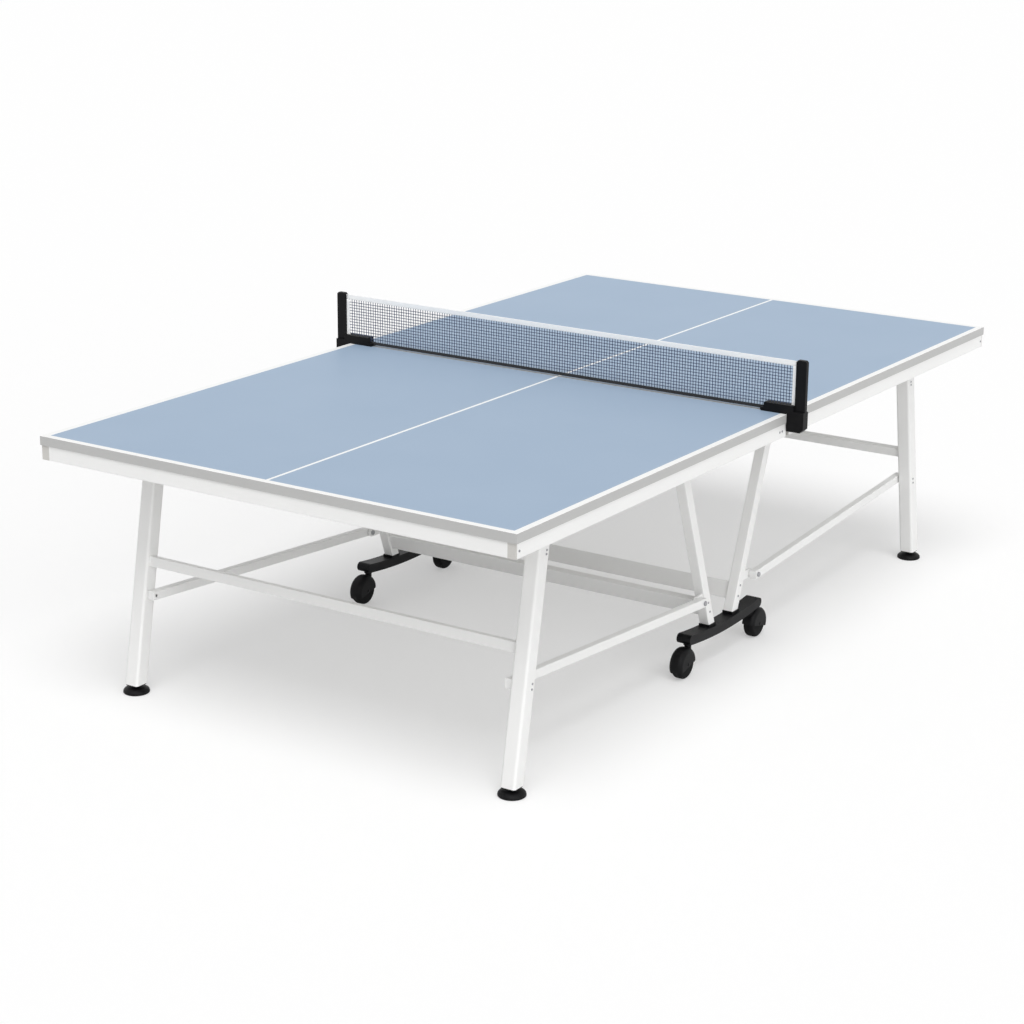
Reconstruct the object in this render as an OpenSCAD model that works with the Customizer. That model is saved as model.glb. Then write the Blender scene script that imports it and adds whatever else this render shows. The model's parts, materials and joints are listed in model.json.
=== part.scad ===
// Folding table tennis table on a rolling centre carriage, with its net set.
// Origin: middle of the table, on the floor. X runs along the table, Y across it, Z up.

/* [Table top] */
// Length of the whole playing surface
table_length = 2740; // [2000:10:2800]
// Width of the playing surface
table_width = 1525; // [1300:5:1600]
// Height of the playing surface above the floor
table_height = 760; // [740:1:780]
// Gap between the two half tops
centre_gap = 6; // [6:0.5:12]
// Thickness of the playing board
board_thickness = 18; // [12:1:19]
// Height of the strip round the board's edge
edge_height = 25; // [20:1:30]
// Thickness of the strip round the board's edge
edge_thickness = 2; // [1:0.5:3]

/* [Under frame] */
// Height of the side and end rails, from the underside of the board
apron_height = 47; // [40:1:60]
// Width of the side and end rails
apron_width = 25; // [20:1:30]
// How far the rails stand back from the board's edge
apron_inset = 3; // [3:0.5:8]
// Wall of every steel tube
tube_wall = 1.5; // [1:0.25:2]
// Thickness of the plastic end caps of the rails
cap_thickness = 3; // [2:0.5:6]
// Size of the stiffener under the middle of each board
joist_size = 25; // [16:1:30]

/* [Outer legs] */
// Side of the square outer leg tube
leg_size = 46; // [36:1:50]
// Corner radius of the outer leg tube
leg_radius = 8; // [4:1:12]
// Distance from the table's long edge to the centre of the outer legs
leg_inset = 133.5; // [110:0.5:150]
// Distance from the table's end to the outer leg's pivot
leg_pivot_inset = 310; // [290:1:330]
// Depth of the outer leg's pivot below the board
leg_pivot_drop = 37; // [32:1:42]
// Distance from the table's end to the place where the leg's line meets the floor
foot_inset = 185; // [150:1:220]
// Height of the end stretcher's middle
stretcher_z = 372; // [355:1:420]
// Height of the end stretcher's tube
stretcher_height = 28; // [20:1:34]
// Width of the end stretcher's tube
stretcher_width = 22; // [16:1:28]
// Diameter of the levelling foot
foot_diameter = 74; // [60:1:90]
// Height of the levelling foot's disc
foot_height = 17; // [14:1:20]

/* [Centre carriage] */
// Side of the square inner leg tube
inner_leg_size = 32; // [28:1:34]
// Distance from the table's middle to the bottom of the inner legs
inner_foot_x = 70; // [60:1:78]
// Height of the inner legs' bottom above the beam's middle
inner_foot_rise = 9; // [7:1:14]
// Distance from the table's middle to the top of the inner legs
inner_top_x = 286; // [275:1:300]
// Depth of the top of the inner legs below the board
inner_top_drop = 20; // [14:1:26]
// Distance from the table's middle to the fold pivot of each half
fold_x = 175; // [172:1:180]
// Depth of the fold pivot of each half below the board
fold_drop = 10; // [9:0.5:11]
// Radius of the fold pivot pins
fold_pin_radius = 6; // [4:0.5:6.5]
// Height of the lower crossbar's tube
crossbar_height = 50; // [40:1:54]
// Width of the lower crossbar's tube
crossbar_width = 20; // [16:1:24]
// Height of the lower crossbar's middle
crossbar_z = 176; // [172:1:200]
// Length of the carriage beams
beam_length = 430; // [420:2:460]
// Width of the carriage beams
beam_width = 44; // [40:1:60]
// Thickness of the carriage beams
beam_thickness = 28; // [22:1:32]
// Height of the top of the beam at its middle
beam_top = 115; // [113:1:120]
// How far the beam's ends rise above its middle
beam_rise = 14; // [10:1:18]

/* [Side links] */
// Distance from the table's middle to the link's inner pivot
link_inner_x = 160; // [156:1:166]
// Height of the link's inner pivot
link_inner_z = 215; // [212:1:218]
// Height of the link's outer pivot, on the outer leg
link_outer_z = 280; // [275:1:285]
// Height of the link's tube
link_height = 26; // [20:1:30]
// Width of the link's tube
link_width = 22; // [16:1:24]
// Radius of the link's pivot bolts
link_bolt_radius = 4; // [3:0.5:5]

/* [Casters] */
// Diameter of the caster wheels
wheel_diameter = 86; // [80:1:88]
// Width of the caster wheels
wheel_width = 32; // [26:1:36]
// Distance from the beam's end to the caster's swivel axis
caster_inset = 28; // [26:1:36]
// Distance from the swivel axis to the wheel's axle
caster_trail = 28; // [24:1:30]
// Wall of the caster's hood
hood_wall = 3; // [2:0.5:4]

/* [Net] */
// Height of the net above the playing surface
net_height = 152.5; // [140:0.5:160]
// Depth of the net's white top tape
top_tape = 15; // [12:1:18]
// Width of the white tapes at the net's two ends
end_tape = 12; // [8:1:16]
// Height of the bottom of the net above the playing surface
net_lift = 4; // [4:1:10]
// Depth of the dark band along the net's bottom edge
bottom_band = 9; // [6:1:12]
// Thickness of the net sheet
net_thickness = 1; // [0.8:0.1:1.6]
// Width of the post, across the table
post_width = 32; // [26:1:36]
// Thickness of the post, along the table
post_thickness = 13; // [10:1:16]
// Width of the post's clamp, along the table
clamp_thickness = 28; // [22:1:34]
// Depth of the clamp's outer block, across the table
clamp_depth = 52; // [46:1:60]
// How far the clamp's block hangs below the playing surface
clamp_drop = 48; // [30:1:60]
// How far the clamp's block stands above the playing surface
clamp_rise = 10; // [6:1:16]
// Length of the clamp's arm over the board
arm_length = 84; // [76:1:120]
// Height of the clamp's arm
arm_height = 24; // [18:1:28]

/* [Hidden] */
$fn = 48;

paint = "white";
grey = "silver";
black = [0.13, 0.13, 0.14];
blue = [0.42, 0.53, 0.68];

running_fit = 0.05;    // radial clearance of a pin in its hole
gap = 0.3;             // clearance between seated pieces that move apart
side_gap = 2;          // clearance between parts that swing past each other
through = 1;           // how far a cutting tool runs past what it cuts

half_x0 = centre_gap / 2;
half_x1 = table_length / 2;
half_y = table_width / 2;
board_under = table_height - board_thickness;
joist_start = 90;      // from the fold pivot to the joist's inner end
apron_x0 = half_x0 + apron_inset;
apron_x1 = half_x1 - apron_inset;
apron_y1 = half_y - apron_inset;
apron_z0 = board_under - apron_height;
apron_mid_z = board_under - apron_height / 2;

// The outer leg leans: its line runs from the pivot down to the floor
leg_y = half_y - leg_inset;
leg_pivot_x = half_x1 - leg_pivot_inset;
leg_pivot_z = board_under - leg_pivot_drop;
foot_x = half_x1 - foot_inset;
leg_lean = (foot_x - leg_pivot_x) / leg_pivot_z;
leg_angle = atan(leg_lean);
leg_clear = 9;         // from the foot's disc to the leg tube
leg_head = 15;         // from the pivot to the leg's top
leg_bottom = foot_height + leg_clear;
leg_top = leg_pivot_z + leg_head;
leg_inner_y = leg_y - leg_size / 2;
leg_outer_y = leg_y + leg_size / 2;
function leg_x(z) = leg_pivot_x + (leg_pivot_z - z) * leg_lean;
leg_bolt_radius = 5;
bracket_plate = 4;
bracket_ear = leg_bolt_radius * 3;
bracket_y0 = leg_inner_y - side_gap / 2 - bracket_plate;
bracket_y1 = leg_outer_y + side_gap / 2 + bracket_plate;
screw_radius = 3.2;
screw_height = 1.2;
screw_pitch = 14;      // between the two screws of a pair
top_pitch = 10;        // between the two screws near the leg's top

// The inner leg leans outward as it rises; the link swings between it and the outer leg
link_y1 = leg_inner_y - side_gap;
link_y0 = link_y1 - link_width;
inner_leg_y = link_y0 - side_gap - inner_leg_size / 2;
inner_top_z = board_under - inner_top_drop;
inner_foot_z = beam_top + inner_foot_rise;
inner_lean = (inner_top_x - inner_foot_x) / (inner_top_z - inner_foot_z);
inner_angle = atan(inner_lean);
inner_leg_corner = 3;
foot_screw_z = 40;     // from the inner leg's bottom to its first screw
foot_screw_pitch = 30;
inner_y0 = inner_leg_y - inner_leg_size / 2;
inner_y1 = inner_leg_y + inner_leg_size / 2;
function inner_x(z) = inner_foot_x + (z - inner_foot_z) * inner_lean;

link_dx = leg_x(link_outer_z) - link_inner_x;
link_dz = link_outer_z - link_inner_z;
link_length = sqrt(link_dx * link_dx + link_dz * link_dz);
link_angle = atan(link_dz / link_dx);
link_end = link_height / 2;
link_tip = 10;         // from the link's outer pivot to its end
ear_plate = 5;
ear_y1 = inner_y1 - inner_leg_corner - 1;

// The fold plates stand on the inner legs' inner faces
fold_z = board_under - fold_drop;
fold_plate = 6;
fold_y0 = inner_y0 - fold_plate;
lug_width = 10;
lug_y1 = fold_y0 - side_gap;
lug_y0 = lug_y1 - lug_width;
lug_radius = fold_drop;
pin_collar = 3;

beam_shift = 4;        // the beams lie this far outside the inner legs' centre
beam_y = inner_leg_y + beam_shift;
caster_x = beam_length / 2 - caster_inset;
// Height of the beam's upper face at x: a shallow parabola
function beam_z(x) = beam_top + beam_rise * pow(x / (beam_length / 2), 2);
socket_radius = 9;
socket_drop = 5;       // how far the caster's socket stands below the beam
socket_depth = 17;
stem_depth = 14;
socket_bottom = beam_z(caster_x) - beam_thickness - socket_drop;

wheel_radius = wheel_diameter / 2;
wheel_gap = 2;
hood_radius = wheel_radius + wheel_gap + hood_wall;
hood_width = wheel_width + 2 * (wheel_gap + hood_wall);
wheel_round = 9;       // round of the wheel's shoulders; the hood follows it
axle_radius = 4;
stem_radius = 5;

plug_lip = 3;
plug_length = 34;
plug_crown = 6;        // from the end of the stem's bore to the plug's top
plug_top = leg_bottom + plug_length;
stem_top = plug_top - plug_crown;
foot_stem = 6;

net_y = half_y + clamp_depth;
net_end = net_y - post_width;
net_z0 = table_height + net_lift;
net_z1 = table_height + net_height;
tape_thickness = net_thickness + 2;
pad_thickness = 2;
clamp_top = table_height + clamp_rise;
clamp_y = half_y + gap;
arm_y = clamp_y - arm_length;

// Children are drawn for the right end and mirrored for the left one
module at_end(end) {
    mirror([end == "right" ? 0 : 1, 0, 0]) children();
}

// Children are drawn at the back and mirrored to the front
module at_side(side) {
    mirror([0, side == "back" ? 0 : 1, 0]) children();
}

module both_ends() {
    for (end = ["left", "right"]) at_end(end) children();
}

module both_sides() {
    for (side = ["front", "back"]) at_side(side) children();
}

// A box from its low corner to its high corner
module block(low, high) {
    translate(low) cube(high - low);
}

// A centred rectangle with round corners
module round_rect(w, h, r) {
    square([w - 2 * r, h], center = true);
    square([w, h - 2 * r], center = true);
    for (x = [-1, 1], y = [-1, 1])
        translate([x * (w / 2 - r), y * (h / 2 - r)]) circle(r);
}

// A tube of the given outer size along +Z
module tube(w, h, r, length) {
    linear_extrude(length) difference() {
        round_rect(w, h, r);
        round_rect(w - 2 * tube_wall, h - 2 * tube_wall, max(r - tube_wall, 0.5));
    }
}

// A cylinder along Y, from y0 to y1, at (x, z)
module bar_y(r, x, z, y0, y1) {
    translate([x, y1, z]) rotate([90, 0, 0]) cylinder(r = r, h = y1 - y0);
}

// A screw head with a cross recess, standing on the face at y
module screw_head(x, z, y, r, h) {
    difference() {
        bar_y(r, x, z, y, y + h);
        for (arm = [[0.6, 0.15], [0.15, 0.6]])
            block([x - r * arm[0], y + h / 2, z - r * arm[1]],
                  [x + r * arm[0], y + h + through, z + r * arm[1]]);
    }
}

// ---- one half of the top --------------------------------------------------

module board() {
    color(blue)
        block([half_x0 + edge_thickness, edge_thickness - half_y, board_under],
              [half_x1 - edge_thickness, half_y - edge_thickness, table_height]);
}

// Strips round the four edges of the board
module edge_trim() {
    z0 = table_height - edge_height;
    color(grey) difference() {
        block([half_x0, -half_y, z0], [half_x1, half_y, table_height]);
        block([half_x0 + edge_thickness, edge_thickness - half_y, z0 - through],
              [half_x1 - edge_thickness, half_y - edge_thickness, table_height + through]);
    }
}

module side_aprons() {
    length = apron_x1 - apron_x0 - 2 * cap_thickness;
    color(paint) both_sides()
        translate([apron_x0 + cap_thickness, apron_y1 - apron_width / 2, apron_mid_z])
            rotate([90, 0, 90]) tube(apron_width, apron_height, 2, length);
}

module end_apron() {
    length = 2 * (apron_y1 - apron_width);
    color(paint) translate([apron_x1 - apron_width / 2, length / 2, apron_mid_z])
        rotate([90, 0, 0]) tube(apron_width, apron_height, 2, length);
}

// Plastic caps in both ends of each side apron
module apron_caps() {
    plug = apron_width / 2;
    fit = 0.2;
    inside = [apron_width - 2 * tube_wall - fit, apron_height - 2 * tube_wall - fit];
    color(grey) both_sides() for (outer = [false, true])
        translate([outer ? apron_x1 - cap_thickness : apron_x0 + cap_thickness,
                   apron_y1 - apron_width / 2, apron_mid_z])
            rotate([0, 0, outer ? 0 : 180]) rotate([90, 0, 90]) {
                linear_extrude(cap_thickness) round_rect(apron_width, apron_height, 2);
                translate([0, 0, -plug]) linear_extrude(plug)
                    round_rect(inside[0], inside[1], 0.5);
            }
}

// Stiffener under the middle of the board, from the fold to the end apron
module joist() {
    x0 = fold_x + joist_start;
    x1 = apron_x1 - apron_width;
    color(paint) translate([x0, 0, board_under - joist_size / 2])
        rotate([90, 0, 90]) tube(joist_size, joist_size, 2, x1 - x0);
}

// Lugs under the board that turn on the carriage's fold pins
module fold_lugs() {
    foot_length = joist_start;
    foot_width = 34;
    foot_plate = 4;
    heel = lug_radius;
    color(black) both_sides() difference() {
        union() {
            bar_y(lug_radius, fold_x, fold_z, lug_y0, lug_y1);
            block([fold_x, lug_y0, fold_z - lug_radius],
                  [fold_x + foot_length, lug_y1, board_under]);
            block([fold_x + heel, lug_y0 - foot_width, board_under - foot_plate],
                  [fold_x + foot_length, lug_y1, board_under]);
        }
        bar_y(fold_pin_radius + running_fit, fold_x, fold_z, lug_y0 - through, lug_y1 + through);
    }
}

// Fork under the board for each outer leg
module leg_brackets() {
    reach = leg_size * 0.74;
    color(black) both_sides() difference() {
        union() {
            for (y = [bracket_y0, bracket_y1 - bracket_plate]) {
                block([leg_pivot_x - bracket_ear, y, leg_pivot_z],
                      [leg_pivot_x + bracket_ear, y + bracket_plate, board_under]);
                bar_y(bracket_ear, leg_pivot_x, leg_pivot_z, y, y + bracket_plate);
            }
            block([leg_pivot_x - reach, bracket_y0, board_under - bracket_plate],
                  [leg_pivot_x + reach, bracket_y1, board_under]);
        }
        bar_y(leg_bolt_radius + running_fit, leg_pivot_x, leg_pivot_z,
              bracket_y0 - through, bracket_y1 + through);
    }
}

module leg_bolts() {
    head = 5;
    head_radius = leg_bolt_radius + 4;
    color(grey) both_sides() {
        bar_y(leg_bolt_radius, leg_pivot_x, leg_pivot_z, bracket_y0 - head, bracket_y1 + head);
        for (y = [bracket_y0 - head, bracket_y1])
            bar_y(head_radius, leg_pivot_x, leg_pivot_z, y, y + head);
    }
}

// Screws that hold the aprons together at the corners
module top_screws() {
    z = apron_z0 + apron_height * 0.42;
    x = apron_x0 + apron_width;
    color(grey) both_sides() {
        screw_head(apron_x1 - apron_width / 2, z, apron_y1, screw_radius, screw_height);
        for (dx = [0, screw_pitch]) screw_head(x + dx, z, apron_y1, screw_radius, screw_height);
    }
}

// ---- outer leg frame ------------------------------------------------------

// Children are drawn along +Z, which becomes the leg's line from its pivot to the floor
module on_leg() {
    translate([leg_pivot_x, leg_y, leg_pivot_z]) rotate([0, 180 - leg_angle, 0]) children();
}

module outer_leg() {
    above = 60;
    below = leg_pivot_z / cos(leg_angle);
    color(paint) difference() {
        intersection() {
            on_leg() translate([0, 0, -above])
                tube(leg_size, leg_size, leg_radius, above + below);
            block([0, 0, leg_bottom], [table_length, table_width, leg_top]);
        }
        bar_y(leg_bolt_radius + running_fit, leg_pivot_x, leg_pivot_z,
              leg_inner_y - through, leg_outer_y + through);
    }
}

// Tube between the front and the back leg
module end_stretcher() {
    color(paint) translate([leg_x(stretcher_z), leg_inner_y, stretcher_z])
        rotate([90, 0, 0]) rotate([0, 0, leg_angle])
            tube(stretcher_width, stretcher_height, 2, 2 * leg_inner_y);
}

// Plastic plug in the bottom of each leg, bored for the foot's stem
module leg_plugs() {
    inside = leg_size - 2 * tube_wall - 0.4;
    color(black) both_sides() difference() {
        intersection() {
            on_leg() linear_extrude(leg_pivot_z / cos(leg_angle))
                round_rect(inside, inside, leg_radius - tube_wall);
            block([0, 0, leg_bottom - plug_lip], [table_length, table_width, plug_top]);
        }
        translate([leg_x(leg_bottom), leg_y, 0])
            cylinder(r = foot_stem + running_fit, h = stem_top);
    }
}

// Levelling foot: a domed disc, a collar and a stem that turns in the plug
module foot() {
    rim = 5;
    edge = 2;
    crown = 15;
    collar = 9;
    r = foot_diameter / 2;
    color(black) translate([leg_x(leg_bottom), leg_y, 0]) {
        rotate_extrude() polygon([
            [0, 0], [r - edge, 0], [r, edge], [r, rim],
            for (a = [15:15:90])
                [crown + (r - crown) * cos(a), rim + (foot_height - rim) * sin(a)],
            [0, foot_height]
        ]);
        cylinder(r = collar, h = leg_bottom - plug_lip - gap);
        cylinder(r = foot_stem, h = stem_top - through);
    }
}

// Screws on the outer faces of the legs
module leg_screws() {
    inward = leg_size * 0.16;
    top_z = apron_z0 - leg_size * 1.7;
    color(grey) both_sides() for (pair = [[link_outer_z, screw_pitch], [top_z, top_pitch]])
        for (dz = [-pair[1] / 2, pair[1] / 2])
            screw_head(leg_x(pair[0] + dz) - inward, pair[0] + dz, leg_outer_y,
                       screw_radius, screw_height);
}

// Tube from the inner leg to the outer leg, bored at both ends
module side_link() {
    bore = link_bolt_radius + running_fit;
    y = (link_y0 + link_y1) / 2;
    color(paint) translate([link_inner_x, y, link_inner_z]) rotate([0, 90 - link_angle, 0])
        difference() {
            union() {
                translate([0, 0, -link_end])
                    tube(link_height, link_width, 3, link_length + link_end + link_tip);
                for (z = [-link_end, link_length + link_tip - tube_wall]) translate([0, 0, z])
                    linear_extrude(tube_wall) round_rect(link_height, link_width, 3);
            }
            for (z = [0, link_length]) translate([0, link_width, z]) rotate([90, 0, 0])
                cylinder(r = bore, h = 2 * link_width);
        }
}

// ---- centre carriage ------------------------------------------------------

// Children are drawn along +Z, which becomes the inner leg's line from its foot upward
module on_inner_leg() {
    translate([inner_foot_x, inner_leg_y, inner_foot_z]) rotate([0, inner_angle, 0]) children();
}

// An inner leg with the ear that carries the link's bolt
module inner_leg() {
    reach = 40;
    length = (inner_top_z - inner_foot_z) / cos(inner_angle);
    color(paint) difference() {
        union() {
            intersection() {
                on_inner_leg() translate([0, 0, -reach])
                    tube(inner_leg_size, inner_leg_size, inner_leg_corner, length + 2 * reach);
                block([0, 0, inner_foot_z], [half_x1, half_y, inner_top_z]);
            }
            difference() {
                union() {
                    bar_y(link_end, link_inner_x, link_inner_z, ear_y1 - ear_plate, ear_y1);
                    block([inner_x(link_inner_z), ear_y1 - ear_plate, link_inner_z - link_end],
                          [link_inner_x, ear_y1, link_inner_z + link_end]);
                }
                on_inner_leg()
                    block([-inner_leg_size, -inner_leg_size, -reach],
                          [(inner_leg_size - tube_wall) / 2, inner_leg_size, length]);
            }
            bar_y(link_end - 2, link_inner_x, link_inner_z, ear_y1 - ear_plate / 2, inner_y1);
        }
        bar_y(link_bolt_radius + running_fit, link_inner_x, link_inner_z,
              ear_y1 - ear_plate - through, inner_y1 + through);
    }
}

module inner_legs() {
    both_ends() inner_leg();
}

module crossbars() {
    color(paint) both_ends() translate([inner_x(crossbar_z), inner_y0, crossbar_z])
        rotate([90, 0, 0]) rotate([0, 0, -inner_angle])
            tube(crossbar_width, crossbar_height, 2, 2 * inner_y0);
}

// Plates on the inner legs' tops, with the pins that the half tops turn on
module fold_pivots() {
    boss = lug_radius - side_gap;
    low = fold_z - 26;
    x1 = inner_x(low) + inner_leg_size / 2 - 3;
    color(black) both_ends() both_sides() {
        bar_y(boss, fold_x, fold_z, fold_y0, inner_y0);
        block([fold_x, fold_y0, low], [x1, inner_y0, fold_z + boss]);
        block([fold_x - boss, fold_y0, low], [fold_x, inner_y0, fold_z]);
        bar_y(fold_pin_radius, fold_x, fold_z, lug_y0 - pin_collar, fold_y0);
    }
}

// The beam's side view: a bowed bar with round ends
module beam_side_view() {
    round = beam_thickness / 2;
    reach = beam_length / 2 - round;
    steps = 12;
    turn = 15;
    xs = [for (i = [-steps:steps]) i / steps * reach];
    end_z = beam_z(reach) - round;
    polygon([
        for (x = xs) [x, beam_z(x)],
        for (a = [90 - turn:-turn:turn - 90]) [reach + round * cos(a), end_z + round * sin(a)],
        for (x = xs) [-x, beam_z(x) - beam_thickness],
        for (a = [turn - 90:turn:90 - turn]) [-reach - round * cos(a), end_z + round * sin(a)]
    ]);
}

module beam_blank() {
    translate([0, beam_y + beam_width / 2, 0]) rotate([90, 0, 0])
        linear_extrude(beam_width) beam_side_view();
}

module beam() {
    color(black) difference() {
        beam_blank();
        for (x = [-caster_x, caster_x]) translate([x, beam_y, 0])
            cylinder(r = socket_radius, h = socket_bottom + socket_depth + through);
    }
}

// Blocks that hold the feet of the inner legs on the beams
module beam_sockets() {
    spigot = foot_screw_z + foot_screw_pitch + 8;
    fit = 0.4;
    border = 2;
    inside = inner_leg_size - 2 * tube_wall - fit;
    half = inner_leg_size / 2 + border;
    color(black) both_ends() both_sides() {
        difference() {
            block([inner_foot_x - half - 2, inner_leg_y - half + border, beam_top - beam_thickness / 2],
                  [inner_foot_x + half + 2, inner_leg_y + half, inner_foot_z]);
            beam_blank();
            block([0, 0, 0], [half_x1, half_y, beam_top]);
        }
        intersection() {
            on_inner_leg() translate([0, 0, -spigot])
                linear_extrude(2 * spigot)
                    round_rect(inside, inside, inner_leg_corner - tube_wall);
            block([0, 0, inner_foot_z], [half_x1, half_y, inner_foot_z + spigot]);
        }
    }
}

// Bolts through the inner legs' ears into the links, and the screws that hold the legs on their sockets
module carriage_bolts() {
    head = 4;
    head_radius = link_bolt_radius + 3;
    low = ear_y1 - ear_plate - gap - head;
    high = link_y1 + head;
    color(grey) both_ends() both_sides() {
        bar_y(link_bolt_radius, link_inner_x, link_inner_z, low, high);
        bar_y(head_radius, link_inner_x, link_inner_z, low, low + head);
        bar_y(head_radius, link_inner_x, link_inner_z, link_y1 + gap, high);
        for (dz = [foot_screw_z, foot_screw_z + foot_screw_pitch])
            screw_head(inner_x(inner_foot_z + dz), inner_foot_z + dz, inner_y1,
                       screw_radius, screw_height);
    }
}

// Sockets in the beams' ends, bored for the casters' stems
module caster_sockets() {
    flange = 13;
    color(black) both_ends() both_sides() difference() {
        union() {
            difference() {
                translate([caster_x, beam_y, socket_bottom]) cylinder(r = flange, h = beam_thickness);
                beam_blank();
                translate([0, 0, socket_bottom + beam_thickness / 2])
                    block([0, 0, 0], [half_x1, half_y, beam_thickness]);
            }
            translate([caster_x, beam_y, socket_bottom])
                cylinder(r = socket_radius - running_fit, h = socket_depth);
        }
        translate([caster_x, beam_y, socket_bottom - through])
            cylinder(r = stem_radius + running_fit, h = stem_depth + through);
    }
}

// ---- casters --------------------------------------------------------------

// A disc on the wheel's axle with rounded shoulders, and a bore where one is given
module crowned_disc(radius, half, round, bore = 0) {
    translate([caster_trail, 0, wheel_radius]) rotate([90, 0, 0]) rotate_extrude() polygon(concat(
        [[bore, -half]],
        [for (a = [-90:15:0]) [radius - round + round * cos(a), round - half + round * sin(a)]],
        [for (a = [0:15:90]) [radius - round + round * cos(a), half - round + round * sin(a)]],
        [[bore, half]]
    ));
}

// Hood, neck, stem and axle; the wheel trails outward from the stem
module hood() {
    neck_radius = 10;
    skirt = 7;
    skirt_tilt = 14;
    color(black) translate([caster_x, beam_y, 0]) {
        difference() {
            union() {
                crowned_disc(hood_radius, hood_width / 2, wheel_round + wheel_gap + hood_wall);
                translate([0, 0, wheel_radius])
                    cylinder(r = neck_radius, h = socket_bottom - gap - wheel_radius);
            }
            crowned_disc(wheel_radius + wheel_gap, wheel_width / 2 + wheel_gap,
                         wheel_round + wheel_gap);
            translate([caster_trail, 0, wheel_radius]) rotate([0, skirt_tilt, 0])
                block([-2 * hood_radius, -hood_width, -2 * hood_radius],
                      [2 * hood_radius, hood_width, -skirt]);
        }
        translate([0, 0, socket_bottom - through]) cylinder(r = stem_radius, h = stem_depth);
        bar_y(axle_radius, caster_trail, wheel_radius, -hood_width / 2, hood_width / 2);
    }
}

module wheel() {
    color(black) translate([caster_x, beam_y, 0])
        crowned_disc(wheel_radius, wheel_width / 2, wheel_round, axle_radius + running_fit);
}

// ---- net ------------------------------------------------------------------

// The back end's pieces are drawn as side views in the YZ plane, t thick along X
module across(t) {
    translate([-t / 2, 0, 0]) rotate([90, 0, 90]) linear_extrude(t) children();
}

module net_posts() {
    bevel = 5;
    top = net_z1 + 4;
    color(black) both_sides() across(post_thickness)
        polygon([
            [net_end, clamp_top], [net_y, clamp_top], [net_y, top - bevel], [net_y - bevel, top],
            [net_end + bevel, top], [net_end, top - bevel]
        ]);
}

// Block outside the board's edge with an arm over the board; a slot takes the net's end
module net_clamps() {
    chamfer = 10;
    tip = 12;
    lip = 7;
    slot = tape_thickness + 2 * gap;
    z0 = table_height + gap + pad_thickness;
    z1 = z0 + arm_height;
    color(black) both_sides() difference() {
        across(clamp_thickness)
            polygon([
                [clamp_y, table_height - clamp_drop], [net_y - chamfer, table_height - clamp_drop],
                [net_y, table_height - clamp_drop + chamfer], [net_y, clamp_top],
                [net_end, clamp_top], [net_end, z1], [arm_y + tip, z1],
                [arm_y + tip - 2, z0 + lip + 2], [arm_y, z0 + lip], [arm_y, z0], [clamp_y, z0]
            ]);
        block([-slot / 2, arm_y - through, net_z0 - gap], [slot / 2, net_end, z1 + through]);
    }
}

module clamp_pads() {
    border = 2;
    w = clamp_thickness / 2 - border;
    color(black) both_sides()
        block([-w, arm_y + border, table_height + gap],
              [w, half_y - edge_thickness - border, table_height + gap + pad_thickness]);
}

module net_mesh() {
    y = net_end - end_tape;
    color([0.2, 0.22, 0.3])
        block([-net_thickness / 2, -y, net_z0 + bottom_band], [net_thickness / 2, y, net_z1 - top_tape]);
}

module net_top_tape() {
    color("white")
        block([-tape_thickness / 2, -net_end, net_z1 - top_tape], [tape_thickness / 2, net_end, net_z1]);
}

module net_end_tapes() {
    color("white") both_sides()
        block([-tape_thickness / 2, net_end - end_tape, net_z0],
              [tape_thickness / 2, net_end, net_z1 - top_tape]);
}

module net_bottom_band() {
    y = net_end - end_tape;
    color(black)
        block([-tape_thickness / 2, -y, net_z0], [tape_thickness / 2, y, net_z0 + bottom_band]);
}

// ---- assembly -------------------------------------------------------------

for (end = ["left", "right"]) at_end(end) {
    board();
    edge_trim();
    side_aprons();
    end_apron();
    apron_caps();
    joist();
    fold_lugs();
    leg_brackets();
    leg_bolts();
    top_screws();
    end_stretcher();
    leg_plugs();
    leg_screws();
    both_sides() side_link();
    for (side = ["front", "back"]) at_side(side) {
        outer_leg();
        foot();
        hood();
        wheel();
    }
}
for (side = ["front", "back"]) at_side(side) {
    beam();
    inner_legs();
}
crossbars();
fold_pivots();
beam_sockets();
carriage_bolts();
caster_sockets();
net_posts();
net_clamps();
clamp_pads();
net_mesh();
net_top_tape();
net_end_tapes();
net_bottom_band();
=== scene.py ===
"""A folding ping pong table: looks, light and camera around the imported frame."""
import json
import math

import bpy
import numpy as np
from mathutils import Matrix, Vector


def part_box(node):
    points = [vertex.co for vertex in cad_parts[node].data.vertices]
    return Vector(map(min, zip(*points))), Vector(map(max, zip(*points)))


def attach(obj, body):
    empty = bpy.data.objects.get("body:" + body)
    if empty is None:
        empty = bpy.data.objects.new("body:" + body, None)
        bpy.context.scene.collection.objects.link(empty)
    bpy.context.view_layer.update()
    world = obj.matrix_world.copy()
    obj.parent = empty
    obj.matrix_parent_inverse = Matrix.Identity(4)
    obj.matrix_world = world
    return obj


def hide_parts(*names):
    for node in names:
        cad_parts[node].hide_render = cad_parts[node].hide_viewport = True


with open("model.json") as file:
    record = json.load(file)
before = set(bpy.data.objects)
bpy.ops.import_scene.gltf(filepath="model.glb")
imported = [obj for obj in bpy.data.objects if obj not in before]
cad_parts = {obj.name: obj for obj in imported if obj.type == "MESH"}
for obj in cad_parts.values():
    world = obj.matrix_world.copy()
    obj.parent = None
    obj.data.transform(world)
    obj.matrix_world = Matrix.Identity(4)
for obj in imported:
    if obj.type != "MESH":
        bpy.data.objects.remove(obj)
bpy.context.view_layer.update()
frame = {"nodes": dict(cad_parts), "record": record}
nodes = frame["nodes"]
MM = 0.001
TURN = 2 * math.pi
X, Y, Z = 0, 1, 2

# A Mix node's inputs and its colour output, by their place in the node
FACTOR, NUMBER_A, NUMBER_B, COLOUR_A, COLOUR_B = 0, 2, 3, 6, 7
MIXED_COLOUR = 2


# ---- colours and nodes ------------------------------------------------------

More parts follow.
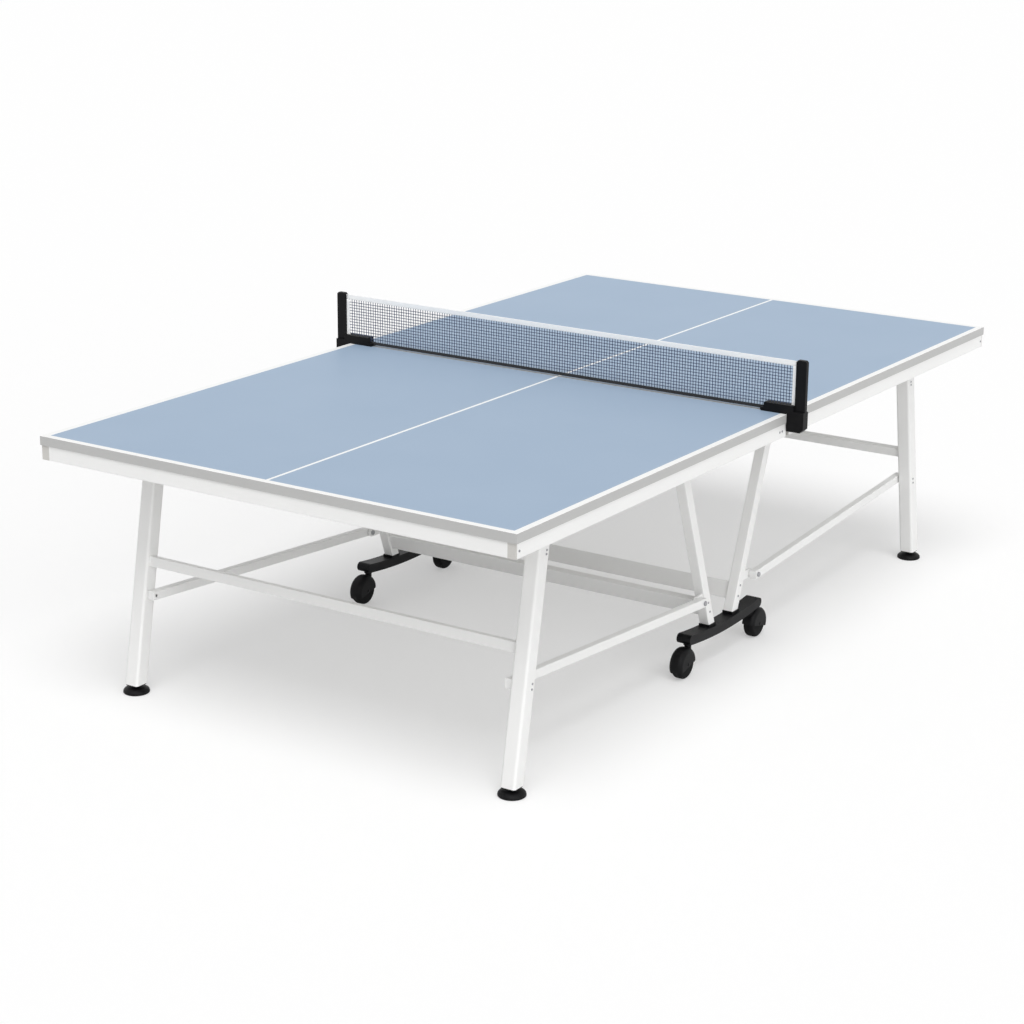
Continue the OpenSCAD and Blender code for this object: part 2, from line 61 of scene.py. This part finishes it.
def srgb(code):
    """A six-digit sRGB hex value as a linear colour with alpha."""
    part = np.array([int(code[i:i + 2], 16) for i in (0, 2, 4)]) / 255
    linear = np.where(part <= 0.04045, part / 12.92, ((part + 0.055) / 1.055) ** 2.4)
    return (*linear.tolist(), 1.0)


def add(tree, kind, inputs=None, **settings):
    """Adds one node, sets its settings, and links or sets its inputs."""
    made = tree.nodes.new(kind)
    for key, value in settings.items():
        setattr(made, key, value)
    for key, value in (inputs or {}).items():
        if isinstance(value, bpy.types.NodeSocket):
            tree.links.new(value, made.inputs[key])
        else:
            made.inputs[key].default_value = value
    return made


def only(tree, kind):
    """The one node of a kind in a material's tree."""
    return next(node for node in tree.nodes if node.type == kind)


def material(name, **constants):
    """A new material, with its tree, its shader and Object coordinates.

    The constants are set on the shader's own sockets.
    """
    made = bpy.data.materials.new(name)
    made.use_nodes = True
    tree = made.node_tree
    tree.nodes.clear()
    sockets = {key.replace("_", " "): value for key, value in constants.items()}
    shader = add(tree, "ShaderNodeBsdfPrincipled", sockets)
    add(tree, "ShaderNodeOutputMaterial", {"Surface": shader.outputs[0]})
    place = add(tree, "ShaderNodeTexCoord").outputs["Object"]
    return made, tree, shader, place


# ---- hard finishes ----------------------------------------------------------

NOISE_LOW, NOISE_HIGH = 0.3, 0.7    # nearly all of a noise texture's values lie between these
GLOSS_SPREAD = 0.05                 # how far the grain moves the roughness to either side
PAPER = 0.2 * MM                    # thickness of the paper under a board


def grain(name, colour, cloud_colour, roughness, cloud_mm, grain_mm, height_mm, **constants):
    """A coated or moulded surface.

    A broad, faint cloud shades the colour into cloud_colour, and a fine grain gives the relief, of
    height_mm, and the changes in gloss.
    """
    made, tree, shader, place = material(name, **constants)
    cloud = add(tree, "ShaderNodeTexNoise", {"Vector": place, "Scale": 1 / (cloud_mm * MM), "Detail": 3.0})
    tint = add(tree, "ShaderNodeMix", {FACTOR: cloud.outputs[0], COLOUR_A: srgb(colour),
                                       COLOUR_B: srgb(cloud_colour)}, data_type="RGBA")
    fine = add(tree, "ShaderNodeTexNoise", {"Vector": place, "Scale": 1 / (grain_mm * MM), "Detail": 4.0,
                                            "Roughness": 0.6})
    gloss = add(tree, "ShaderNodeMapRange", {"Value": fine.outputs[0],
                                             "From Min": NOISE_LOW, "From Max": NOISE_HIGH,
                                             "To Min": roughness - GLOSS_SPREAD,
                                             "To Max": roughness + GLOSS_SPREAD})
    relief = add(tree, "ShaderNodeBump", {"Height": fine.outputs[0], "Distance": height_mm * MM,
                                          "Strength": 1.0})
    tree.links.new(tint.outputs[MIXED_COLOUR], shader.inputs["Base Color"])
    tree.links.new(gloss.outputs[0], shader.inputs["Roughness"])
    tree.links.new(relief.outputs[0], shader.inputs["Normal"])
    return made


def paper_below(finish, level, paper):
    """Gives a board's finish the paper's colour below a level, in place of its own."""
    tree = finish.node_tree
    base = only(tree, "BSDF_PRINCIPLED").inputs["Base Color"]
    lacquer = base.links[0].from_socket
    place = add(tree, "ShaderNodeTexCoord").outputs["Object"]
    height = add(tree, "ShaderNodeSeparateXYZ", {0: place}).outputs[Z]
    under = add(tree, "ShaderNodeMath", {0: height, 1: level}, operation="LESS_THAN")
    face = add(tree, "ShaderNodeMix", {FACTOR: under.outputs[0], COLOUR_A: lacquer,
                                       COLOUR_B: srgb(paper)}, data_type="RGBA")
    tree.links.new(face.outputs[MIXED_COLOUR], base)


# Fibreboard under a roller-coated matt acrylic lacquer: an even, dusty blue with a faint roller stipple
blue_lacquer = grain("Roller_coated_lacquer_blue", "9AAFC6", "A0B4CA", 0.5, 260, 1.6, 0.03, IOR=1.46,
                     Specular_IOR_Level=0.35)
# Its underside carries a pale balancing paper in place of the lacquer
paper_below(blue_lacquer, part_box("left_board")[0].z + PAPER, "D9D8D5")
# Extruded PVC edge banding: light grey with a soft sheen
edge_banding = grain("Extruded_PVC_edge_grey", "B4B4B3", "BABAB9", 0.42, 90, 2.2, 0.02, IOR=1.53)
# Steel tube under electrostatic powder coat, oven cured: clean white with a fine orange peel
white_coat = grain("Powder_coated_steel_white", "EDEDEC", "F1F1F0", 0.36, 180, 2.6, 0.03, IOR=1.5)
# Injection-moulded polypropylene: warm pale grey with a spark-eroded grain
pale_cap = grain("Moulded_polypropylene_grey", "C4C2BE", "CBC9C5", 0.5, 40, 0.7, 0.03, IOR=1.49)
# The next three have a low specular level, which keeps them black under the broad lamps.
# Powder-coated steel, black: deep satin with a fine orange peel
black_coat = grain("Powder_coated_steel_black", "0A0A0C", "111113", 0.42, 120, 2.2, 0.04, IOR=1.5,
                   Specular_IOR_Level=0.12)
# Glass-filled nylon from a spark-eroded mould: near black, with a dry grain
black_nylon = grain("Moulded_nylon_black", "0A0A0B", "111113", 0.48, 50, 0.8, 0.05, IOR=1.53,
                    Specular_IOR_Level=0.12)
# Vulcanised rubber: flat black that scatters light
black_rubber = grain("Vulcanised_rubber_black", "0A0A0B", "101011", 0.72, 30, 1.0, 0.05, IOR=1.52,
                     Specular_IOR_Level=0.12)
# Zinc-plated mild steel: a dull, bluish metal
zinc_plate = grain("Zinc_plated_steel", "9A9B9F", "B0B1B4", 0.36, 6, 0.8, 0.01, Metallic=1.0)
# Screen-printed acrylic line paint: bright white, a little glossier than the lacquer
line_paint = grain("Acrylic_line_paint_white", "F6F6F5", "FAFAF9", 0.45, 80, 1.4, 0.02, IOR=1.48)


# ---- threads and tapes ------------------------------------------------------

def woven(name, colour, shade, thread_mm, height_mm, roughness):
    """Crossed threads: colour and relief follow the product of a sine along y and a sine along z.

    Both sines have a wave of thread_mm, so the high spots lie in a chequer, as in a plain weave.
    The colour darkens from colour at the high spots to shade at the low ones, a painted shade in the
    hollows.
    """
    made, tree, shader, place = material(name, Roughness=roughness, IOR=1.5, Sheen_Weight=0.25,
                                         Sheen_Roughness=0.5)
    rate = TURN / (thread_mm * MM)
    split = add(tree, "ShaderNodeSeparateXYZ", {0: place})
    along = add(tree, "ShaderNodeMath", {0: split.outputs[Y], 1: rate}, operation="MULTIPLY")
    up = add(tree, "ShaderNodeMath", {0: split.outputs[Z], 1: rate}, operation="MULTIPLY")
    warp = add(tree, "ShaderNodeMath", {0: along.outputs[0]}, operation="SINE")
    weft = add(tree, "ShaderNodeMath", {0: up.outputs[0]}, operation="SINE")
    cloth = add(tree, "ShaderNodeMath", {0: warp.outputs[0], 1: weft.outputs[0]}, operation="MULTIPLY")
    level = add(tree, "ShaderNodeMapRange", {"Value": cloth.outputs[0], "From Min": -1.0, "From Max": 1.0})
    # Painted shade: the colour darkens to shade where the weave is low
    tint = add(tree, "ShaderNodeMix", {FACTOR: level.outputs[0], COLOUR_A: srgb(shade),
                                       COLOUR_B: srgb(colour)}, data_type="RGBA")
    relief = add(tree, "ShaderNodeBump", {"Height": level.outputs[0], "Distance": height_mm * MM,
                                          "Strength": 1.0})
    tree.links.new(tint.outputs[MIXED_COLOUR], shader.inputs["Base Color"])
    tree.links.new(relief.outputs[0], shader.inputs["Normal"])
    return made


# In each of these, the second colour is the painted shade at the weave's low spots
# Woven polyester tape: white and matt, threads drawn 1.2 mm apart, coarser than real so that they show
white_tape = woven("Woven_polyester_tape_white", "FCFCFB", "F3F3F2", 1.2, 0.1, 0.8)
# The same tape dyed black
black_tape = woven("Woven_polyester_tape_black", "16171B", "0C0D10", 1.2, 0.1, 0.85)
# Twisted nylon cord, heat set: dark blue with a soft sheen, its strands drawn as a 1 mm wave
net_cord = woven("Twisted_nylon_cord_dark", "30456A", "1C2A44", 1.0, 0.1, 0.6)
# Spun polyester sewing thread: off-white, with its twist drawn as a 0.5 mm wave
line_thread = woven("Spun_polyester_thread_white", "F2F2F0", "DCDCDA", 0.5, 0.03, 0.7)

FINISH = {"blue_board": blue_lacquer, "edge_strip": edge_banding, "white_steel": white_coat,
          "cap_plastic": pale_cap, "black_steel": black_coat, "black_plastic": black_nylon,
          "black_rubber": black_rubber, "zinc_steel": zinc_plate, "net_cord": net_cord,
          "white_tape": white_tape, "black_tape": black_tape}
for part in frame["record"]["subparts"]:
    shown = nodes[part["node"]]
    shown.data.materials.clear()
    shown.data.materials.append(FINISH[part["material_slot"]])


# ---- surfaces ---------------------------------------------------------------

def piece(name, points, faces, body, slot, finish=None, smooth=True):
    """A mesh piece from points in metres, riding on a body, in its slot's finish unless one is given."""
    mesh = bpy.data.meshes.new(name)
    mesh.from_pydata(np.asarray(points).reshape(-1, 3).tolist(), [], faces)
    mesh.materials.append(FINISH[slot] if finish is None else finish)
    if smooth:
        mesh.shade_smooth()
    else:
        mesh.shade_flat()
    made = bpy.data.objects.new(name, mesh)
    bpy.context.scene.collection.objects.link(made)
    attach(made, body)
    return made


def points_of(made):
    """The points of an object's mesh, as an array."""
    points = np.empty(3 * len(made.data.vertices))
    made.data.vertices.foreach_get("co", points)
    return points.reshape(-1, 3)


def angles(sides):
    """The corners of a regular polygon, as evenly spaced angles of one turn."""
    return np.arange(sides) * TURN / sides


def walls(a, b):
    """Quads from rings a to rings b of point numbers, each reaching to the next corner round."""
    return np.stack([a, np.roll(a, -1, -1), np.roll(b, -1, -1), b], -1).reshape(-1, 4).tolist()


def tubes(rings, start=0):
    """Faces of closed tubes, where rings has the shape (tubes, rings, sides, 3).

    Walls join each ring to the next, and flat caps close the ends. They face outwards in a tube along z
    whose corners turn from x to y, or along y from z to x. start is the first point's number.
    """
    count, length, sides = rings.shape[:3]
    index = start + np.arange(count * length * sides).reshape(count, length, sides)
    return walls(index[:, :-1], index[:, 1:]) + index[:, 0, ::-1].tolist() + index[:, -1].tolist()


# ---- painted lines ----------------------------------------------------------

PAINT = 0.15 * MM
LINE = 20 * MM
CENTRE_LINE = 9 * MM            # three times the usual width, as on this table
PAINT_SLOT = "white_steel"      # the record has no slot for paint; this is its white coating


def painted_line(name, body, x_range, y_range, level):
    """A film of paint on the board: its edges climb steeply and then ease off to the flat top."""
    climb = np.array([0.0, 0.3, 0.7, 1.0]) * PAINT
    inset = np.array([0.0, 0.15, 0.5, 1.4]) * PAINT
    (x0, x1), (y0, y1) = x_range, y_range
    corner = np.array([[x0, y0], [x1, y0], [x1, y1], [x0, y1]])
    inward = np.array([[1, 1], [-1, 1], [-1, -1], [1, -1]])
    rings = np.zeros((1, len(climb), len(corner), 3))
    rings[..., :Z] = corner + inward * inset[:, None, None]
    rings[..., Z] = level + climb[:, None]
    piece(name, rings, tubes(rings), body, PAINT_SLOT, line_paint, smooth=False)


def court_lines(end):
    """One half's lines: one along each side, half of the centre line, and the one at the end."""
    low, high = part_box(end + "_edge_trim")
    board_low, board_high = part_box(end + "_board")
    if end == "left":
        inner, outer, inward = board_high.x, low.x, 1
    else:
        inner, outer, inward = board_low.x, high.x, -1
    body = end + "_top"
    edge = outer + inward * LINE
    run = sorted((inner, edge))
    painted_line(end + "_front_side_line", body, run, (low.y, low.y + LINE), high.z)
    painted_line(end + "_back_side_line", body, run, (high.y - LINE, high.y), high.z)
    painted_line(end + "_centre_line", body, run, (-CENTRE_LINE / 2, CENTRE_LINE / 2), high.z)
    painted_line(end + "_end_line", body, sorted((outer, edge)), (low.y, high.y), high.z)


for end in ("left", "right"):
    court_lines(end)


# ---- small fittings ---------------------------------------------------------

def axle_caps(corner, radius=5.5 * MM, rise=1.6 * MM, sunk=1 * MM, sides=16, steps=5, pole=0.12):
    """Low domes on a hood's two sides, over the axle.

    Radius and rise follow a quarter of an ellipse, which stops at a small flat, pole radians short of
    its top. A straight foot is sunk into the hood.
    """
    low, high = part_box(corner + "_hood")
    wheel_low, wheel_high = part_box(corner + "_wheel")
    axle = (wheel_low + wheel_high) / 2
    side = np.array([-1, 1])[:, None, None]
    turn = angles(sides)
    climb = np.linspace(0, math.pi / 2 - pole, steps)
    wide = radius * np.concatenate([[1.0], np.cos(climb)])[:, None]
    proud = np.concatenate([[-sunk], rise * np.sin(climb)])[:, None]
    rings = np.zeros((2, steps + 1, sides, 3))
    rings[..., X] = axle.x + wide * np.cos(turn)
    rings[..., Y] = np.array([low.y, high.y])[:, None, None] + side * proud
    rings[..., Z] = axle.z - side * wide * np.sin(turn)
    piece(corner + "_hood_axle_caps", rings, tubes(rings), corner + "_caster", "black_plastic")


def end_outline(node, side, band=0.6 * MM, rim_depth=4 * MM):
    """One end of a tube that runs along y: its y, its middle, and its outer outline about the middle.

    The outline takes the points within a band of the end, merged to a hundredth of a millimetre, and of
    those the ones that lie less than rim_depth inside the farthest. They go from x to z round the middle.
    """
    points = points_of(nodes[node])
    level = points[:, Y].max() if side == "back" else points[:, Y].min()
    rim = np.unique(points[abs(points[:, Y] - level) < band][:, ::2].round(5), axis=0)
    middle = (rim.max(0) + rim.min(0)) / 2
    turn = np.arctan2(*(rim - middle).T[::-1])
    reach = np.hypot(*(rim - middle).T)
    outer = reach > reach.max() - rim_depth
    return level, middle, (rim[outer] - middle)[np.argsort(turn[outer])]


def weld_bead(end, side, radius=1.8 * MM, ripple=0.16, scale=2.4 * MM, steps=240, sides=7):
    """A bead of weld round one end of an end stretcher.

    A round section is carried along the tube's outline. Its radius follows a sine, by a share of ripple
    and with a wave of scale, as a weld's scales do.
    """
    node = end + "_end_stretcher"
    level, middle, outline = end_outline(node, side)
    loop = np.concatenate([outline, outline[:1]])
    run = np.concatenate([[0], np.cumsum(np.hypot(*np.diff(loop, axis=0).T))])
    s = np.linspace(0, run[-1], steps, endpoint=False)
    path = np.stack([np.interp(s, run, loop[:, 0]), np.interp(s, run, loop[:, 1])], 1)
    ahead = np.roll(path, -1, 0) - np.roll(path, 1, 0)
    ahead /= np.hypot(*ahead.T)[:, None]
    out = np.stack([ahead[:, 1], -ahead[:, 0]], 1)
    bulge = radius * (1 + ripple * np.sin(TURN * s / scale))[:, None]
    turn = angles(sides)
    grid = np.zeros((steps, sides, 3))
    grid[..., ::2] = (middle + path)[:, None] + (bulge * np.cos(turn))[..., None] * out[:, None]
    grid[..., Y] = level + bulge * np.sin(turn)
    index = np.arange(steps * sides).reshape(steps, sides)
    piece(f"{node}_{side}_weld", grid, walls(index, np.roll(index, -1, 0)), end + "_leg_frame",
          "white_steel")


for end in ("left", "right"):
    for side in ("front", "back"):
        weld_bead(end, side)
    for side in ("front", "back"):
        axle_caps(side + "_" + end)


# ---- the net ----------------------------------------------------------------

OTHER = {Y: Z, Z: Y}        # the net's other direction
# Which way a section's corners turn from x on, so that a tube along y or along z faces outwards
OUTWARD = {Y: -1, Z: 1}
PITCH = 9 * MM              # between cords, drawn coarser than most nets' so that they show
CORD = 1.9 * MM
CORD_SIDES = 5
CELL_STEPS = 4              # lengths of a cord's tube in each cell of the net
KNOT_GROWTH = 0.45          # how much thicker a knot makes the cord, as a share
KNOT_SHARPNESS = 4.5        # of a knot's bell curve: the higher, the shorter the knot
SWAY = 0.35 * MM            # the most that a cord strays from straight
SWAY_STEP = 9.1             # radians by which a cord's sway is ahead of the last one's
SWAY_RUN = 17               # radians of sway along a cord
TAPE_CLOTH = 0.5 * MM
TAPE_STEP = 8 * MM          # from one ring of a tape's points to the next
WALL_POINTS = 9             # along each straight wall of a folded tape's section
BEND_POINTS = 17            # round its fold, with the two where the walls end
END_TAPE = 12 * MM          # width of an end tape once folded
STITCH_PITCH = 4.5 * MM
STITCH_SHARE = 0.7          # of the pitch, which a stitch covers
FIRST_STITCH = 0.65         # where the first stitch starts, in pitches
STITCH_THREAD = 0.45 * MM
STITCH_SIDES = 6
STITCH_TAPER = np.array([0.5, 1, 1, 1, 0.5])    # a stitch's thickness along it, in threads
STITCH_SUNK = 0.12 * MM     # how deep a stitch's ends lie in the cloth
SEAM = 2.5 * MM             # from a tape's open edge to its stitches


def thread_net(name, low, high):
    """Cords up and across the rectangle from low to high, each a round tube.

    At every crossing a bell curve thickens the cord into the knot that ties it to the other one. A slow
    sine sways it to the side, by nothing at its ends.
    """
    wide, tall = high.y - low.y, high.z - low.z
    upright, level = round(wide / PITCH) - 1, round(tall / PITCH) - 1
    points, faces, start = [], [], 0
    # Each set has count cords of one length, spread over a span along axis, and crossed by the others
    for count, crossed, length, span, axis in ((upright, level, tall, wide, Y),
                                               (level, upright, wide, tall, Z)):
        steps = CELL_STEPS * (crossed + 1) + 1
        s = np.linspace(0, 1, steps)
        cell = s * (crossed + 1)
        knot = np.exp(-((cell - np.round(cell)) * KNOT_SHARPNESS) ** 2)
        radius = (CORD / 2 * (1 + KNOT_GROWTH * knot))[:, None]
        cord = np.arange(count)[:, None]
        sway = SWAY * np.sin(SWAY_STEP * cord + SWAY_RUN * s) * np.sin(math.pi * s)
        along = OTHER[axis]
        turn = OUTWARD[along] * angles(CORD_SIDES)
        rings = np.zeros((count, steps, CORD_SIDES, 3))
        rings[..., X] = (low.x + high.x) / 2 + radius * np.cos(turn)
        rings[..., axis] = (low[axis] + span * ((cord + 1) / (count + 1)) + sway)[..., None]
        rings[..., axis] += radius * np.sin(turn)
        rings[..., along] = (low[along] + length * s)[:, None]
        points.append(rings.reshape(-1, 3))
        faces += tubes(rings, start)
        start += rings.size // 3
    made = piece(name, np.concatenate(points), faces, "net_set", "net_cord")
    # A cloth has two faces, so the net's counts as half the surface of its cords
    return made


def folded_tape(name, low, high, slot, axis, fold_side):
    """A tape along axis, folded over an edge of the net, in the box from low to high.

    Its cross-section is a U of even thickness: two straight walls, joined by half a circle at the fold.
    The fold is on the high side where fold_side is 1, and on the low side where it is -1.
    """
    across = OTHER[axis]
    fold, hem = (high[across], low[across]) if fold_side > 0 else (low[across], high[across])
    bow = (high.x - low.x - TAPE_CLOTH) / 2
    reach = abs(fold - hem) - TAPE_CLOTH / 2 - bow
    flat = np.linspace(0, 1, WALL_POINTS)
    bend = np.linspace(0, math.pi, BEND_POINTS)[1:-1]
    centre = np.concatenate([
        np.stack([np.full(WALL_POINTS, -bow), reach * flat], 1),
        np.stack([-bow * np.cos(bend), reach + bow * np.sin(bend)], 1),
        np.stack([np.full(WALL_POINTS, bow), reach * flat[::-1]], 1)])
    run = np.gradient(centre, axis=0)
    run /= np.linalg.norm(run, axis=1)[:, None]
    out = np.stack([-run[:, 1], run[:, 0]], 1) * TAPE_CLOTH / 2
    outline = np.concatenate([centre + out, (centre - out)[::-1]])
    if fold_side == OUTWARD[axis]:
        outline = outline[::-1]
    long = high[axis] - low[axis]
    steps = round(long / TAPE_STEP)
    rings = np.zeros((1, steps, len(outline), 3))
    rings[..., X] = outline[:, 0] + (low.x + high.x) / 2
    rings[..., across] = hem + fold_side * outline[:, 1]
    rings[..., axis] = np.linspace(low[axis], high[axis], steps)[:, None]
    made = piece(name, rings, tubes(rings), "net_set", slot)
    return made


def stitches(name, tape, axis, fold_side):
    """A row of stitches on both faces of a tape, beside its open edge.

    Each is a tube whose height over the cloth follows half a sine, with both ends thinner and sunk.
    """
    points = points_of(tape)
    low, high = points.min(0), points.max(0)
    across = OTHER[axis]
    seam = (low if fold_side > 0 else high)[across] + fold_side * SEAM
    count = round((high[axis] - low[axis]) / STITCH_PITCH) - 1
    first = low[axis] + (np.arange(count) + FIRST_STITCH) * STITCH_PITCH
    thick = STITCH_THREAD / 2 * STITCH_TAPER[:, None]
    s = np.linspace(0, 1, len(thick))
    rise = (STITCH_THREAD / 2 * np.sin(math.pi * s) - STITCH_SUNK)[:, None]
    turn = angles(STITCH_SIDES)
    rings = np.zeros((2, count, len(s), STITCH_SIDES, 3))
    for row, face, sign in ((rings[0], low[X], -1), (rings[1], high[X], 1)):
        row[..., X] = face + sign * (rise + thick * np.cos(turn))
        row[..., axis] = (first[:, None] + STITCH_SHARE * STITCH_PITCH * s)[..., None]
        row[..., across] = seam + sign * OUTWARD[axis] * thick * np.sin(turn)
    rings = rings.reshape(2 * count, len(s), STITCH_SIDES, 3)
    piece(name, rings, tubes(rings), "net_set", "white_tape", line_thread)


top_tape = folded_tape("net_top_tape_folded", *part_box("net_top_tape"), "white_tape", Y, 1)
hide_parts("net_top_tape")
bottom_band = folded_tape("net_bottom_band_folded", *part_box("net_bottom_band"), "black_tape", Y, -1)
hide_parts("net_bottom_band")
stitches("net_top_tape_stitches", top_tape, Y, 1)
for side, fold_side in (("front", -1), ("back", 1)):
    low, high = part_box("net_end_tapes")     # it holds both tapes, so one of its sides moves in
    if side == "front":
        high.y = low.y + END_TAPE
    else:
        low.y = high.y - END_TAPE
    end_tape = folded_tape(f"net_{side}_end_tape_folded", low, high, "white_tape", Z, fold_side)
    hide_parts("net_end_tapes")
    stitches(f"net_{side}_end_tape_stitches", end_tape, Z, fold_side)
mesh_net = thread_net("net_mesh_knotted", *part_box("net_mesh"))
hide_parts("net_mesh")


# ---- floor, light and camera ------------------------------------------------

FLOOR_GLOW = 0.32       # share of the floor's white that is its own
SKY_LIGHT = 0.42        # strength of the sky as a light


def seen(tree):
    """1 for a ray from the eye, a gloss or glass, and 0 for one that only carries light."""
    ray = add(tree, "ShaderNodeLightPath").outputs
    direct = add(tree, "ShaderNodeMath", {0: ray["Is Camera Ray"], 1: ray["Is Glossy Ray"]},
                 operation="MAXIMUM")
    return add(tree, "ShaderNodeMath", {0: direct.outputs[0], 1: ray["Is Transmission Ray"]},
               operation="MAXIMUM").outputs[0]


def studio_floor(half=40.0):
    """A flat, matt floor: paper white with its own glow where seen, duller where it lights the table."""
    mesh = bpy.data.meshes.new("Floor")
    mesh.from_pydata([(-half, -half, 0), (half, -half, 0), (half, half, 0), (-half, half, 0)], [],
                     [(0, 1, 2, 3)])
    floor = bpy.data.objects.new("Floor", mesh)
    bpy.context.scene.collection.objects.link(floor)
    made, tree, shader, _ = material("Studio_floor_white", Roughness=0.9, Specular_IOR_Level=0.0)
    eye = seen(tree)
    paper = add(tree, "ShaderNodeMix", {FACTOR: eye, COLOUR_A: (0.8, 0.8, 0.8, 1),
                                        COLOUR_B: (1, 1, 1, 1)}, data_type="RGBA")
    own = add(tree, "ShaderNodeMath", {0: eye, 1: FLOOR_GLOW}, operation="MULTIPLY")
    glow = add(tree, "ShaderNodeEmission", {"Color": (1, 1, 1, 1), "Strength": 1.0})
    both = add(tree, "ShaderNodeMixShader", {0: own.outputs[0], 1: shader.outputs[0], 2: glow.outputs[0]})
    tree.links.new(paper.outputs[MIXED_COLOUR], shader.inputs["Base Color"])
    tree.links.new(both.outputs[0], only(tree, "OUTPUT_MATERIAL").inputs["Surface"])
    mesh.materials.append(made)


def studio_sky():
    """An even white sky, which lights the table weakly and is full white where it is seen."""
    world = bpy.data.worlds.new("Studio")
    bpy.context.scene.world = world
    world.use_nodes = True
    tree = world.node_tree
    tree.nodes.clear()
    level = add(tree, "ShaderNodeMix", {FACTOR: seen(tree), NUMBER_A: SKY_LIGHT, NUMBER_B: 1.0})
    sky = add(tree, "ShaderNodeBackground", {"Color": (1, 1, 1, 1), "Strength": level.outputs[0]})
    add(tree, "ShaderNodeOutputWorld", {"Surface": sky.outputs[0]})


def lamp(name, strength, azimuth, elevation, spread):
    """A distant lamp with a wide, soft disc; azimuth is where the light comes from, from +X towards +Y."""
    data = bpy.data.lights.new(name, "SUN")
    data.energy = strength
    data.angle = math.radians(spread)
    made = bpy.data.objects.new(name, data)
    made.rotation_euler = (math.radians(90 - elevation), 0, math.radians(azimuth + 90))
    bpy.context.scene.collection.objects.link(made)


def studio_camera(place, lens, heading, down, lean):
    """A camera that looks along heading, from +X towards +Y, and down, and leans a little, in degrees."""
    data = bpy.data.cameras.new("Camera")
    data.sensor_width = 36.0
    data.lens = lens
    camera = bpy.data.objects.new("Camera", data)
    camera.location = place
    camera.rotation_euler = (math.radians(90 - down), math.radians(lean), math.radians(heading - 90))
    bpy.context.scene.collection.objects.link(camera)
    bpy.context.scene.camera = camera


studio_floor()
studio_sky()
lamp("Soft_key", 1.5, azimuth=-150, elevation=66, spread=38)
lamp("Broad_fill", 1.5, azimuth=-121, elevation=15, spread=60)
studio_camera((-5.7824, -3.6737, 2.4191), lens=83.76, heading=33.67, down=16.89, lean=-0.42)
bpy.context.scene.view_settings.view_transform = "Standard"
